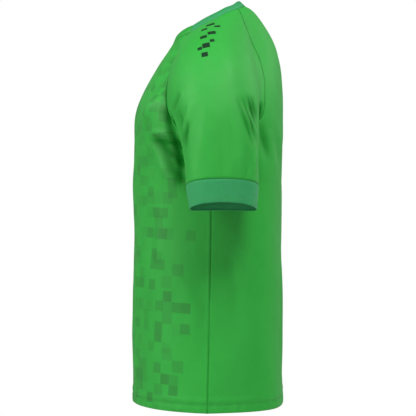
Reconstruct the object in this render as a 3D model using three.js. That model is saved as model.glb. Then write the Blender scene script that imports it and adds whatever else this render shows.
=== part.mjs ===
// A short-sleeved football jersey with raglan sleeves, worn shape with nobody in it.
// Millimetres, +Z up. The wearer's front faces -Y and the wearer's left arm is on +X.
// The origin is the middle of the neck at the level of the shoulders.
import * as THREE from 'three';

// Sizes of the cloth and how the pieces meet
const WALL = 1.6;
const SEAM_GAP = 0.3;

// How square each round form is: 0 is an ellipse
const FRONT_SQUARENESS = 0.03;
const BACK_SQUARENESS = 0.06;
const CUFF_SQUARENESS = 0.05;

// How much higher the hem hangs at the middle of the front and of the back
const HEM_RISE = { front: 5, back: 3 };

// How finely each piece is divided
const BODY_COLUMNS = 13;
const BODY_ROWS = 15;
const RAGLAN_ROWS = 13;
const NECK_COLUMNS = 7;
const SLEEVE_ROWS = 12;
const BAND_ROWS = 2;

// The body tube, from the hem up: half width at the side seams, depth in front of and behind
// the middle, and how far behind the middle the side seam runs
const BODY = [
  { z: -694, halfWidth: 196, front: 137, back: 138, seam: -1 },
  { z: -560, halfWidth: 192, front: 138, back: 134, seam: 2 },
  { z: -420, halfWidth: 190, front: 137, back: 133.5, seam: 5 },
  { z: -300, halfWidth: 192, front: 135, back: 135, seam: 6 },
  { z: -213, halfWidth: 197, front: 134.5, back: 138, seam: 5 },
];

// The middle line of the chest and of the upper back, above the underarm
const CHEST_LINE = [
  { z: -213, y: -134.5 },
  { z: -178, y: -134 },
  { z: -156, y: -130 },
  { z: -134, y: -121 },
  { z: -112, y: -110 },
  { z: -90, y: -97.5 },
  { z: -68, y: -84.5 },
  { z: -42, y: -67 },
];
const BACK_LINE = [
  { z: -213, y: 138 },
  { z: -134, y: 136 },
  { z: -90, y: 132 },
  { z: -68, y: 128.5 },
  { z: -46, y: 123 },
  { z: -29, y: 116 },
  { z: -12, y: 106.5 },
  { z: 4, y: 95.5 },
  { z: 20, y: 82 },
  { z: 28, y: 70 },
];

// The raglan seams from the underarm to the neck. At each level the body has a section, of this
// half width and side line, and the panel goes round it from the middle by this turn in degrees.
// The lift is how much higher the level lies at the middle of the panel than at the seam, and the
// bow is how much it arches up on the way
const RAGLAN_FRONT = [
  { z: -213, lift: 0, halfWidth: 197, seam: 5, turn: 90, bow: 0 },
  { z: -203, lift: -1, halfWidth: 197, seam: 5, turn: 70, bow: 0 },
  { z: -184, lift: -3, halfWidth: 198, seam: 6, turn: 63, bow: 0 },
  { z: -157, lift: -6, halfWidth: 191, seam: 1, turn: 60, bow: 0 },
  { z: -110, lift: -10, halfWidth: 160, seam: 3, turn: 56, bow: 0 },
  { z: -77, lift: -14, halfWidth: 137, seam: 16, turn: 55, bow: 0 },
  { z: -46, lift: -17, halfWidth: 105, seam: 38, turn: 54, bow: 1 },
  { z: -24, lift: -18, halfWidth: 88, seam: 44, turn: 51, bow: 3 },
];
const RAGLAN_BACK = [
  { z: -213, lift: 0, halfWidth: 197, seam: 5, turn: 90, bow: 0 },
  { z: -204, lift: 0, halfWidth: 197, seam: 5, turn: 72, bow: 0 },
  { z: -184, lift: 1, halfWidth: 197, seam: 6, turn: 56, bow: 0 },
  { z: -146, lift: 2, halfWidth: 192, seam: 6, turn: 52, bow: 0 },
  { z: -117, lift: 3, halfWidth: 182, seam: 0, turn: 50, bow: 0 },
  { z: -78, lift: 5, halfWidth: 156, seam: -4, turn: 52, bow: 0 },
  { z: -44, lift: 7, halfWidth: 124, seam: -12, turn: 55, bow: 0 },
  { z: 2, lift: 9, halfWidth: 92, seam: -2, turn: 55, bow: 0 },
  { z: 19, lift: 9, halfWidth: 78, seam: 12, turn: 52, bow: 0 },
];

// The neck edge of a sleeve between its two raglan seams
const SLEEVE_NECK = [
  { x: 82, y: -9, z: -12 },
  { x: 88, y: 17, z: 1 },
  { x: 83, y: 38, z: 12 },
];

// The rings at the cuff seam and at the cuff's open edge: the middle, the half widths, and how
// the ring rises towards the outside of the arm and arches there
const CUFF_SEAM = { x: 249, y: 24, z: -301, halfX: 52, halfY: 61.5, rise: 5, arch: 5 };
const CUFF_EDGE = { x: 249, y: 25, z: -342, halfX: 48, halfY: 56, rise: 7, arch: 5 };

// Share of the way round the sleeve that belongs to the front raglan seam, and to the neck edge
const FRONT_SHARE = 0.35;
const NECK_SHARE = 0.3;

// The tilted ring half way along the sleeve: its middle, how far it leans out and up at the top
// of the arm, its half width from front to back, and how far below it the cloth hangs straight
const SLEEVE_MIDDLE = { x: 227, y: 14, z: -165, leanX: 24, leanZ: 78, halfY: 74, hang: 12 };

// The neckband: its width, and its lean towards the neck in degrees from the front to the back
const BAND_WIDTH = 14.5;
const BAND_LEAN = [
  { y: -67, lean: 24 },
  { y: -45, lean: 30 },
  { y: -28, lean: 31 },
  { y: 0, lean: 35 },
  { y: 25, lean: 47 },
  { y: 48, lean: 60 },
  { y: 60, lean: 55 },
  { y: 70, lean: 45 },
];

// The largest folds. The two ends are places seen from the side (y, z) or from the front (x, z);
// a positive depth is a ridge and a negative one a trough
const FOLDS = [
  { on: 'sleeve_left', seen: 'side', a: [-56, -160], b: [-46, -262], width: 9, depth: -6 },
  { on: 'sleeve_left', seen: 'side', a: [-36, -172], b: [-45, -240], width: 8, depth: 4 },
  { on: 'sleeve_left', seen: 'side', a: [84, -198], b: [60, -158], width: 8, depth: -4 },
  { on: 'sleeve_left', seen: 'side', a: [76, -208], b: [50, -164], width: 8, depth: 3 },
  { on: 'sleeve_left', seen: 'side', a: [22, -196], b: [52, -280], width: 12, depth: -2 },
  { on: 'sleeve_right', seen: 'side', a: [-54, -166], b: [-48, -252], width: 10, depth: -5 },
  { on: 'sleeve_right', seen: 'side', a: [82, -198], b: [58, -160], width: 9, depth: -4 },
  { on: 'sleeve_right', seen: 'side', a: [28, -196], b: [52, -278], width: 12, depth: 3 },
  { on: 'front', seen: 'front', a: [178, -206], b: [128, -292], width: 15, depth: -6 },
  { on: 'front', seen: 'front', a: [150, -150], b: [120, -215], width: 14, depth: 4 },
  { on: 'front', seen: 'front', a: [-176, -212], b: [-134, -284], width: 15, depth: -5 },
  { on: 'front', seen: 'front', a: [-146, -154], b: [-122, -224], width: 14, depth: 4 },
  { on: 'front', seen: 'front', a: [92, -470], b: [84, -668], width: 16, depth: 4 },
  { on: 'front', seen: 'front', a: [60, -440], b: [52, -640], width: 17, depth: -3.5 },
  { on: 'front', seen: 'front', a: [-78, -500], b: [-88, -676], width: 16, depth: 4 },
  { on: 'back', seen: 'front', a: [150, -208], b: [108, -270], width: 15, depth: -4 },
  { on: 'back', seen: 'front', a: [-154, -206], b: [-112, -276], width: 15, depth: -4.5 },
  { on: 'back', seen: 'front', a: [70, -430], b: [84, -640], width: 18, depth: 3.5 },
  { on: 'back', seen: 'front', a: [-58, -470], b: [-70, -660], width: 18, depth: -3 },
];

// Colours of the finished jersey
const BODY_GREEN = 0x2fa83c;
const BAND_TEAL = 0x3b9566;

const radians = THREE.MathUtils.degToRad;
const lerp = THREE.MathUtils.lerp;

// A smooth value of one column between two rows of a table, where `key` grows from row to row
function between(rows, key, column, value) {
  const last = rows.length - 1;
  let i = 0;
  while (i < last - 1 && value > rows[i + 1][key]) i += 1;
  const slope = (j) => {
    const from = Math.max(j - 1, 0);
    const to = Math.min(j + 1, last);
    return (rows[to][column] - rows[from][column]) / (rows[to][key] - rows[from][key]);
  };
  const span = rows[i + 1][key] - rows[i][key];
  const f = THREE.MathUtils.clamp((value - rows[i][key]) / span, 0, 1);
  const h = f * f * (3 - 2 * f);
  const bend0 = f * (1 - f) * (1 - f) * span * slope(i);
  const bend1 = f * f * (1 - f) * span * slope(i + 1);
  return lerp(rows[i][column], rows[i + 1][column], h) + bend0 - bend1;
}

// One level of cloth of a panel, from a row of sizes
function bodyLevel(side, row) {
  const line = side === 'front' ? CHEST_LINE : BACK_LINE;
  const middleZ = row.z + row.lift;
  return {
    ...row,
    middleZ,
    middleY: row.middleY ?? between(line, 'z', 'y', middleZ),
    turn: radians(row.turn),
    square: side === 'front' ? FRONT_SQUARENESS : BACK_SQUARENESS,
  };
}

// A point of a level, from the middle (0) to the left end (1) or the right end (-1)
function levelPoint(level, t) {
  const across = (a) => Math.sin(a) + level.square * Math.sin(3 * a);
  const depth = (a) => (Math.cos(a) - level.square * Math.cos(3 * a)) / (1 - level.square);
  const angle = level.turn * Math.abs(t);
  const x = level.halfWidth * across(angle) / across(Math.PI / 2);
  const y = lerp(level.seam, level.middleY, depth(angle));
  const way = (1 - depth(angle)) / (1 - depth(level.turn));
  const z = lerp(level.middleZ, level.z, way) + level.bow * 4 * way * (1 - way);
  return new THREE.Vector3(t < 0 ? -x : x, y, z);
}

// Adds to each row of a table how far along the line it lies, from 0 to 1
function measured(rows, pointOf) {
  const points = rows.map(pointOf);
  const reach = [0];
  for (let i = 1; i < rows.length; i += 1) {
    reach.push(reach[i - 1] + points[i].distanceTo(points[i - 1]));
  }
  return rows.map((row, i) => ({ ...row, along: reach[i] / reach[rows.length - 1] }));
}

const RAGLAN = {
  front: measured(RAGLAN_FRONT, (row) => levelPoint(bodyLevel('front', row), 1)),
  back: measured(RAGLAN_BACK, (row) => levelPoint(bodyLevel('back', row), 1)),
};

// A row of sizes between the rows of a table
function rowAt(table, key, value, columns) {
  return Object.fromEntries(columns.map((column) => [column, between(table, key, column, value)]));
}

function raglanLevel(side, along) {
  const columns = ['z', 'lift', 'halfWidth', 'seam', 'turn', 'bow'];
  return bodyLevel(side, rowAt(RAGLAN[side], 'along', along, columns));
}

function raglanPoint(side, along) {
  return levelPoint(raglanLevel(side, along), 1);
}

const NECK_SEAM = measured(
  [raglanPoint('front', 1), ...SLEEVE_NECK, raglanPoint('back', 1)],
  (row) => new THREE.Vector3(row.x, row.y, row.z),
);

function neckPoint(along) {
  const { x, y, z } = rowAt(NECK_SEAM, 'along', along, ['x', 'y', 'z']);
  return new THREE.Vector3(x, y, z);
}

// A level of the body tube below the underarm
function tubeLevel(side, z) {
  const row = rowAt(BODY, 'z', z, ['halfWidth', 'seam', 'front', 'back']);
  const low = (z - BODY[BODY.length - 1].z) / (BODY[0].z - BODY[BODY.length - 1].z);
  const lift = HEM_RISE[side] * low * low;
  const middleY = side === 'front' ? -row.front : row.back;
  return bodyLevel(side, { ...row, z, lift, middleY, turn: 90, bow: 0 });
}

// A grid of points is a list of rows from the bottom up, and each row runs anticlockwise
// as seen from above, so that the outside of the cloth faces out
function panel(side) {
  const levels = [];
  for (let i = 0; i < BODY_ROWS; i += 1) {
    const f = i / BODY_ROWS;
    levels.push(tubeLevel(side, lerp(BODY[0].z, BODY[BODY.length - 1].z, f * (1.25 - 0.25 * f))));
  }
  for (let i = 0; i <= RAGLAN_ROWS; i += 1) {
    levels.push(raglanLevel(side, i / RAGLAN_ROWS));
  }
  const way = side === 'front' ? 1 : -1;
  return levels.map((level) => {
    const row = [];
    for (let j = -BODY_COLUMNS; j <= BODY_COLUMNS; j += 1) {
      row.push(levelPoint(level, way * j / BODY_COLUMNS));
    }
    return row;
  });
}

function ringPoint(ring, share) {
  const angle = Math.PI + share * 2 * Math.PI;
  const c = Math.cos(angle);
  const across = c - CUFF_SQUARENESS * Math.cos(3 * angle);
  const depth = Math.sin(angle) + CUFF_SQUARENESS * Math.sin(3 * angle);
  const x = ring.x + ring.halfX * across / (1 - CUFF_SQUARENESS);
  const y = ring.y + ring.halfY * depth / (1 - CUFF_SQUARENESS);
  return new THREE.Vector3(x, y, ring.z + ring.rise * c + ring.arch * c * c);
}

// The columns of the left sleeve: the point on the upper edge and the share of the way round
function sleeveColumns() {
  const columns = [];
  for (let i = 0; i < RAGLAN_ROWS; i += 1) {
    const along = i / RAGLAN_ROWS;
    columns.push({ top: raglanPoint('front', along), share: FRONT_SHARE * along });
  }
  for (let i = 0; i <= NECK_COLUMNS; i += 1) {
    const f = i / NECK_COLUMNS;
    columns.push({ top: neckPoint(f), share: FRONT_SHARE + NECK_SHARE * f });
  }
  for (let i = RAGLAN_ROWS - 1; i > 0; i -= 1) {
    const along = i / RAGLAN_ROWS;
    columns.push({ top: raglanPoint('back', along), share: 1 - FRONT_SHARE * along });
  }
  return columns;
}

// Each column of the sleeve is a curve from the cuff seam to the upper edge which passes
// through the middle ring half way
function sleeve() {
  const lines = sleeveColumns().map(({ top, share }) => {
    const angle = Math.PI + share * 2 * Math.PI;
    const ring = SLEEVE_MIDDLE;
    const out = Math.cos(angle);
    const middle = new THREE.Vector3(
      ring.x + ring.leanX * out,
      ring.y + ring.halfY * Math.sin(angle),
      ring.z + ring.leanZ * out,
    );
    const foot = ringPoint(CUFF_SEAM, share);
    const hang = foot.clone().setZ(middle.z - ring.hang);
    const reach = middle.clone().multiplyScalar(8).sub(top).sub(foot).addScaledVector(hang, -3);
    return new THREE.CubicBezierCurve3(foot, hang, reach.divideScalar(3), top);
  });
  const rows = [];
  for (let i = 0; i <= SLEEVE_ROWS; i += 1) {
    rows.push(lines.map((line) => line.getPoint(i / SLEEVE_ROWS)));
  }
  return rows;
}

function cuff() {
  const shares = sleeveColumns().map((column) => column.share);
  const rows = [];
  for (let i = 0; i <= BAND_ROWS; i += 1) {
    const f = i / BAND_ROWS;
    rows.push(shares.map((share) => ringPoint(CUFF_EDGE, share).lerp(ringPoint(CUFF_SEAM, share), f)));
  }
  return rows;
}

// The band round the whole neck, which stands on the neck edge and leans in
function neckband(edge) {
  const count = edge.length;
  const rows = [edge];
  for (let i = 1; i <= BAND_ROWS; i += 1) {
    const width = BAND_WIDTH * i / BAND_ROWS;
    rows.push(edge.map((point, j) => {
      const before = edge[(j + count - 1) % count];
      const after = edge[(j + 1) % count];
      const inward = new THREE.Vector3(before.y - after.y, after.x - before.x, 0).normalize();
      const lean = radians(between(BAND_LEAN, 'y', 'lean', point.y));
      const place = point.clone().addScaledVector(inward, width * Math.sin(lean));
      return place.setZ(place.z + width * Math.cos(lean));
    }));
  }
  return rows;
}

function mirrored(rows) {
  return rows.map((row) => row.map((p) => new THREE.Vector3(-p.x, p.y, p.z)).reverse());
}

// Facing of the cloth at each point of a grid, from the points around it
function facings(piece) {
  const { rows, closed } = piece;
  return rows.map((row, i) => row.map((point, j) => {
    const count = row.length;
    const left = closed ? row[(j + count - 1) % count] : row[Math.max(j - 1, 0)];
    const right = closed ? row[(j + 1) % count] : row[Math.min(j + 1, count - 1)];
    const below = rows[Math.max(i - 1, 0)][j];
    const above = rows[Math.min(i + 1, rows.length - 1)][j];
    return right.clone().sub(left).cross(above.clone().sub(below)).normalize();
  }));
}

// Points that lie on a seam are shared by two or more pieces, and take the mean of what the pieces say
function shareSeams(pieces, values, add, scale) {
  const shared = new Map();
  const key = (p) => [p.x, p.y, p.z].map((v) => Math.round(v * 50)).join(' ');
  pieces.forEach((piece, n) => piece.rows.forEach((row, i) => row.forEach((point, j) => {
    const entry = shared.get(key(point)) ?? [];
    entry.push(values[n][i][j]);
    shared.set(key(point), entry);
  })));
  return pieces.map((piece) => piece.rows.map((row) => row.map((point) => {
    const entry = shared.get(key(point));
    return scale(entry.reduce(add), entry.length);
  })));
}

function foldHeight(name, point, facing) {
  let height = 0;
  for (const fold of FOLDS) {
    if (fold.on === name) {
      const across = fold.seen === 'side' ? point.y : point.x;
      const weight = fold.seen === 'side' ? Math.abs(facing.x) : Math.abs(facing.y);
      const [ax, az] = fold.a;
      const dx = fold.b[0] - ax;
      const dz = fold.b[1] - az;
      const f = ((across - ax) * dx + (point.z - az) * dz) / (dx * dx + dz * dz);
      const g = THREE.MathUtils.clamp(f, 0, 1);
      const off = Math.hypot(across - ax - g * dx, point.z - az - g * dz) / fold.width;
      const taper = 0.35 + 0.65 * Math.sin(Math.PI * g);
      height += fold.depth * taper * weight * Math.exp(-off * off);
    }
  }
  return height;
}

function average(pieces, values) {
  return shareSeams(pieces, values, (a, b) => a.clone().add(b), (sum) => sum.clone().normalize());
}

function foldCloth(pieces) {
  const facing = average(pieces, pieces.map(facings));
  const raw = pieces.map((piece, n) => piece.rows.map((row, i) => row.map((point, j) => (
    foldHeight(piece.name, point, facing[n][i][j])
  ))));
  const height = shareSeams(pieces, raw, (a, b) => a + b, (sum, count) => sum / count);
  return pieces.map((piece, n) => ({
    ...piece,
    rows: piece.rows.map((row, i) => row.map((point, j) => (
      point.clone().addScaledVector(facing[n][i][j], height[n][i][j])
    ))),
  }));
}

// Draws the edge points of a piece back from its seams by half of the gap, square to the seam
function trimmed(piece, facing) {
  const { rows, closed } = piece;
  const lastRow = rows.length - 1;
  const lastColumn = rows[0].length - 1;
  const count = rows[0].length;
  return rows.map((row, i) => row.map((point, j) => {
    const left = closed ? row[(j + count - 1) % count] : row[Math.max(j - 1, 0)];
    const right = closed ? row[(j + 1) % count] : row[Math.min(j + 1, lastColumn)];
    const along = right.clone().sub(left);
    const up = rows[Math.min(i + 1, lastRow)][j].clone().sub(rows[Math.max(i - 1, 0)][j]);
    const rise = facing[i][j].clone().cross(along).setLength(SEAM_GAP / 2);
    const side = up.clone().cross(facing[i][j]).setLength(SEAM_GAP / 2);
    const place = point.clone();
    if (i === 0) place.add(rise);
    if (i === lastRow) place.sub(rise);
    if (!closed && j === 0) place.add(side);
    if (!closed && j === lastColumn) place.sub(side);
    return place;
  }));
}

// A wall of cloth: the grid outside, the same grid moved in by the wall, and the edges between
function wall(piece, facing) {
  const outer = trimmed(piece, facing);
  const count = outer[0].length;
  const height = outer.length;
  const positions = [];
  for (const depth of [0, WALL]) {
    outer.forEach((row, i) => row.forEach((point, j) => {
      const place = point.clone().addScaledVector(facing[i][j], -depth);
      positions.push(place.x, place.y, place.z);
    }));
  }
  const inside = height * count;
  const at = (i, j) => i * count + (j % count);
  const index = [];
  const corner = (n) => new THREE.Vector3().fromArray(positions, 3 * n);
  const quad = (a, b, c, d) => {
    const first = corner(a).distanceTo(corner(c));
    const second = corner(b).distanceTo(corner(d));
    if (first < second) index.push(a, b, c, a, c, d);
    else index.push(b, c, d, b, d, a);
  };
  const columns = piece.closed ? count : count - 1;
  for (let i = 0; i < height - 1; i += 1) {
    for (let j = 0; j < columns; j += 1) {
      const a = at(i, j);
      const b = at(i, j + 1);
      const c = at(i + 1, j + 1);
      const d = at(i + 1, j);
      quad(a, b, c, d);
      quad(inside + a, inside + d, inside + c, inside + b);
    }
    if (!piece.closed) {
      quad(at(i, 0), at(i + 1, 0), inside + at(i + 1, 0), inside + at(i, 0));
      const end = count - 1;
      quad(at(i + 1, end), at(i, end), inside + at(i, end), inside + at(i + 1, end));
    }
  }
  for (let j = 0; j < columns; j += 1) {
    quad(at(0, j + 1), at(0, j), inside + at(0, j), inside + at(0, j + 1));
    const top = height - 1;
    quad(at(top, j), at(top, j + 1), inside + at(top, j + 1), inside + at(top, j));
  }
  const geometry = new THREE.BufferGeometry();
  geometry.setAttribute('position', new THREE.Float32BufferAttribute(positions, 3));
  geometry.setIndex(index);
  geometry.computeVertexNormals();
  return geometry;
}

// All the pieces before folding, sewn edge to edge
function cutPieces() {
  const front = panel('front');
  const back = panel('back');
  const left = sleeve();
  const right = mirrored(left);
  const topOf = (rows) => rows[rows.length - 1];
  const neckOfSleeve = topOf(left).slice(RAGLAN_ROWS, RAGLAN_ROWS + NECK_COLUMNS + 1);
  const edges = [topOf(front), neckOfSleeve, topOf(back), mirrored([neckOfSleeve])[0]];
  const band = neckband(edges.flatMap((edge) => edge.slice(0, -1)));
  const frontColumns = 2 * BODY_COLUMNS;
  const bandFront = band.map((row) => row.slice(0, frontColumns + 1));
  const bandBack = band.map((row) => [...row.slice(frontColumns), row[0]]);
  return [
    { name: 'front', rows: front, closed: false, colour: BODY_GREEN },
    { name: 'back', rows: back, closed: false, colour: BODY_GREEN },
    { name: 'sleeve_left', rows: left, closed: true, colour: BODY_GREEN },
    { name: 'sleeve_right', rows: right, closed: true, colour: BODY_GREEN },
    { name: 'cuff_left', rows: cuff(), closed: true, colour: BAND_TEAL },
    { name: 'cuff_right', rows: mirrored(cuff()), closed: true, colour: BAND_TEAL },
    { name: 'collar', rows: bandBack, closed: false, colour: BAND_TEAL },
    { name: 'collar_front', rows: bandFront, closed: false, colour: BODY_GREEN },
  ];
}

const jersey = new THREE.Group();
const pieces = foldCloth(cutPieces());
const facing = average(pieces, pieces.map(facings));
pieces.forEach((piece, n) => {
  const material = new THREE.MeshStandardMaterial({ color: piece.colour, roughness: 0.75, metalness: 0 });
  const mesh = new THREE.Mesh(wall(piece, facing[n]), material);
  mesh.name = piece.name;
  jersey.add(mesh);
});

export default jersey;
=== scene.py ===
import functools
import math
from collections import namedtuple

import bpy
import numpy as np
from bpy.props import FloatProperty, FloatVectorProperty, PointerProperty
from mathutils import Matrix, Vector
from mathutils.kdtree import KDTree


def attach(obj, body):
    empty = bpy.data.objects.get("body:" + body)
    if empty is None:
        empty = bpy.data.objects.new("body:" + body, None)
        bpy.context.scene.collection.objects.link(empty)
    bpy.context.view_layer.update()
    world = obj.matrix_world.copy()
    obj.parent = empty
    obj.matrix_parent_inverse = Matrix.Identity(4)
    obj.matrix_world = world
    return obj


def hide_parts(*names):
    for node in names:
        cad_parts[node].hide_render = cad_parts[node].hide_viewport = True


bl_info = {
    "name": "Football Jersey",
    "version": (1, 0, 0),
    "blender": (4, 5, 0),
    "location": "3D View > Sidebar > Jersey",
    "description": "Builds a short-sleeved football jersey in worn form, sewn from eight pieces of knit",
    "category": "Object",
}

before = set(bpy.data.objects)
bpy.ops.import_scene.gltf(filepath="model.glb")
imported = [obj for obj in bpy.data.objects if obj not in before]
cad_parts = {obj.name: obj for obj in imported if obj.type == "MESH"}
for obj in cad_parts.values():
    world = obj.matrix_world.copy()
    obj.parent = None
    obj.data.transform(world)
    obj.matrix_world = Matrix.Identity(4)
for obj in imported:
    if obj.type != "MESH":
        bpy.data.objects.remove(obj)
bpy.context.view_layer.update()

# Tables are in millimetres and degrees, in the frame of the model: +Z up, the front faces -Y
MM = 0.001


def table(columns, *rows):
    """The rows of a table as one array for each named column."""
    return dict(zip(columns.split(), np.array(rows, float).T))


# How square each round form is: 0 is an ellipse
FRONT_SQUARENESS = 0.03
BACK_SQUARENESS = 0.06
CUFF_SQUARENESS = 0.05

# How much higher the hem hangs at the middle of the front and of the back
HEM_RISE = {"front": 5, "back": 3}

# The body tube from the hem up: half width, depth before and behind the middle, side seam
BODY = table(
    "z half_width front back seam",
    (-694, 196, 137, 138, -1),
    (-560, 192, 138, 134, 2),
    (-420, 190, 137, 133.5, 5),
    (-300, 192, 135, 135, 6),
    (-213, 197, 134.5, 138, 5),
)

# The middle line of the chest and of the upper back, above the underarm
MIDDLE_LINE = {
    "front": table(
        "z y",
        (-213, -134.5), (-178, -134), (-156, -130), (-134, -121),
        (-112, -110), (-90, -97.5), (-68, -84.5), (-42, -67),
    ),
    "back": table(
        "z y",
        (-213, 138), (-134, 136), (-90, 132), (-68, 128.5), (-46, 123),
        (-29, 116), (-12, 106.5), (4, 95.5), (20, 82), (28, 70),
    ),
}

# The raglan seams from the underarm to the neck: the body's section at each level, how far
# round it the panel goes, how much higher the level lies at the middle of the panel, and how
# much it arches up on the way
RAGLAN = {
    "front": table(
        "z lift half_width seam turn bow",
        (-213, 0, 197, 5, 90, 0),
        (-203, -1, 197, 5, 70, 0),
        (-184, -3, 198, 6, 63, 0),
        (-157, -6, 191, 1, 60, 0),
        (-110, -10, 160, 3, 56, 0),
        (-77, -14, 137, 16, 55, 0),
        (-46, -17, 105, 38, 54, 1),
        (-24, -18, 88, 44, 51, 3),
    ),
    "back": table(
        "z lift half_width seam turn bow",
        (-213, 0, 197, 5, 90, 0),
        (-204, 0, 197, 5, 72, 0),
        (-184, 1, 197, 6, 56, 0),
        (-146, 2, 192, 6, 52, 0),
        (-117, 3, 182, 0, 50, 0),
        (-78, 5, 156, -4, 52, 0),
        (-44, 7, 124, -12, 55, 0),
        (2, 9, 92, -2, 55, 0),
        (19, 9, 78, 12, 52, 0),
    ),
}

# The neck edge of a sleeve between its two raglan seams
SLEEVE_NECK = ((82, -9, -12), (88, 17, 1), (83, 38, 12))

# The rings at the cuff seam and at the cuff's open edge
Ring = namedtuple("Ring", "x y z half_x half_y rise arch")
CUFF_SEAM = Ring(x=249, y=24, z=-301, half_x=52, half_y=61.5, rise=5, arch=5)
CUFF_EDGE = Ring(x=249, y=25, z=-342, half_x=48, half_y=56, rise=7, arch=5)

# Share of the way round the sleeve that belongs to the front raglan seam, and to the neck edge
FRONT_SHARE = 0.35
NECK_SHARE = 0.3

# The tilted ring half way along the sleeve, and how far below it the cloth hangs straight
Tilted = namedtuple("Tilted", "x y z lean_x lean_z half_y hang")
SLEEVE_MIDDLE = Tilted(x=227, y=14, z=-165, lean_x=24, lean_z=78, half_y=74, hang=12)

# The neckband's lean towards the neck in degrees, from the front to the back
BAND_LEAN = table(
    "y lean",
    (-67, 24), (-45, 30), (-28, 31), (0, 35), (25, 47), (48, 60), (60, 55), (70, 45),
)

# How finely each piece is divided
BODY_COLUMNS = 70
BODY_ROWS = 110
RAGLAN_ROWS = 96
NECK_COLUMNS = 36
SLEEVE_ROWS = 110
CUFF_ROWS = 18
BAND_ROWS = 9

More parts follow.
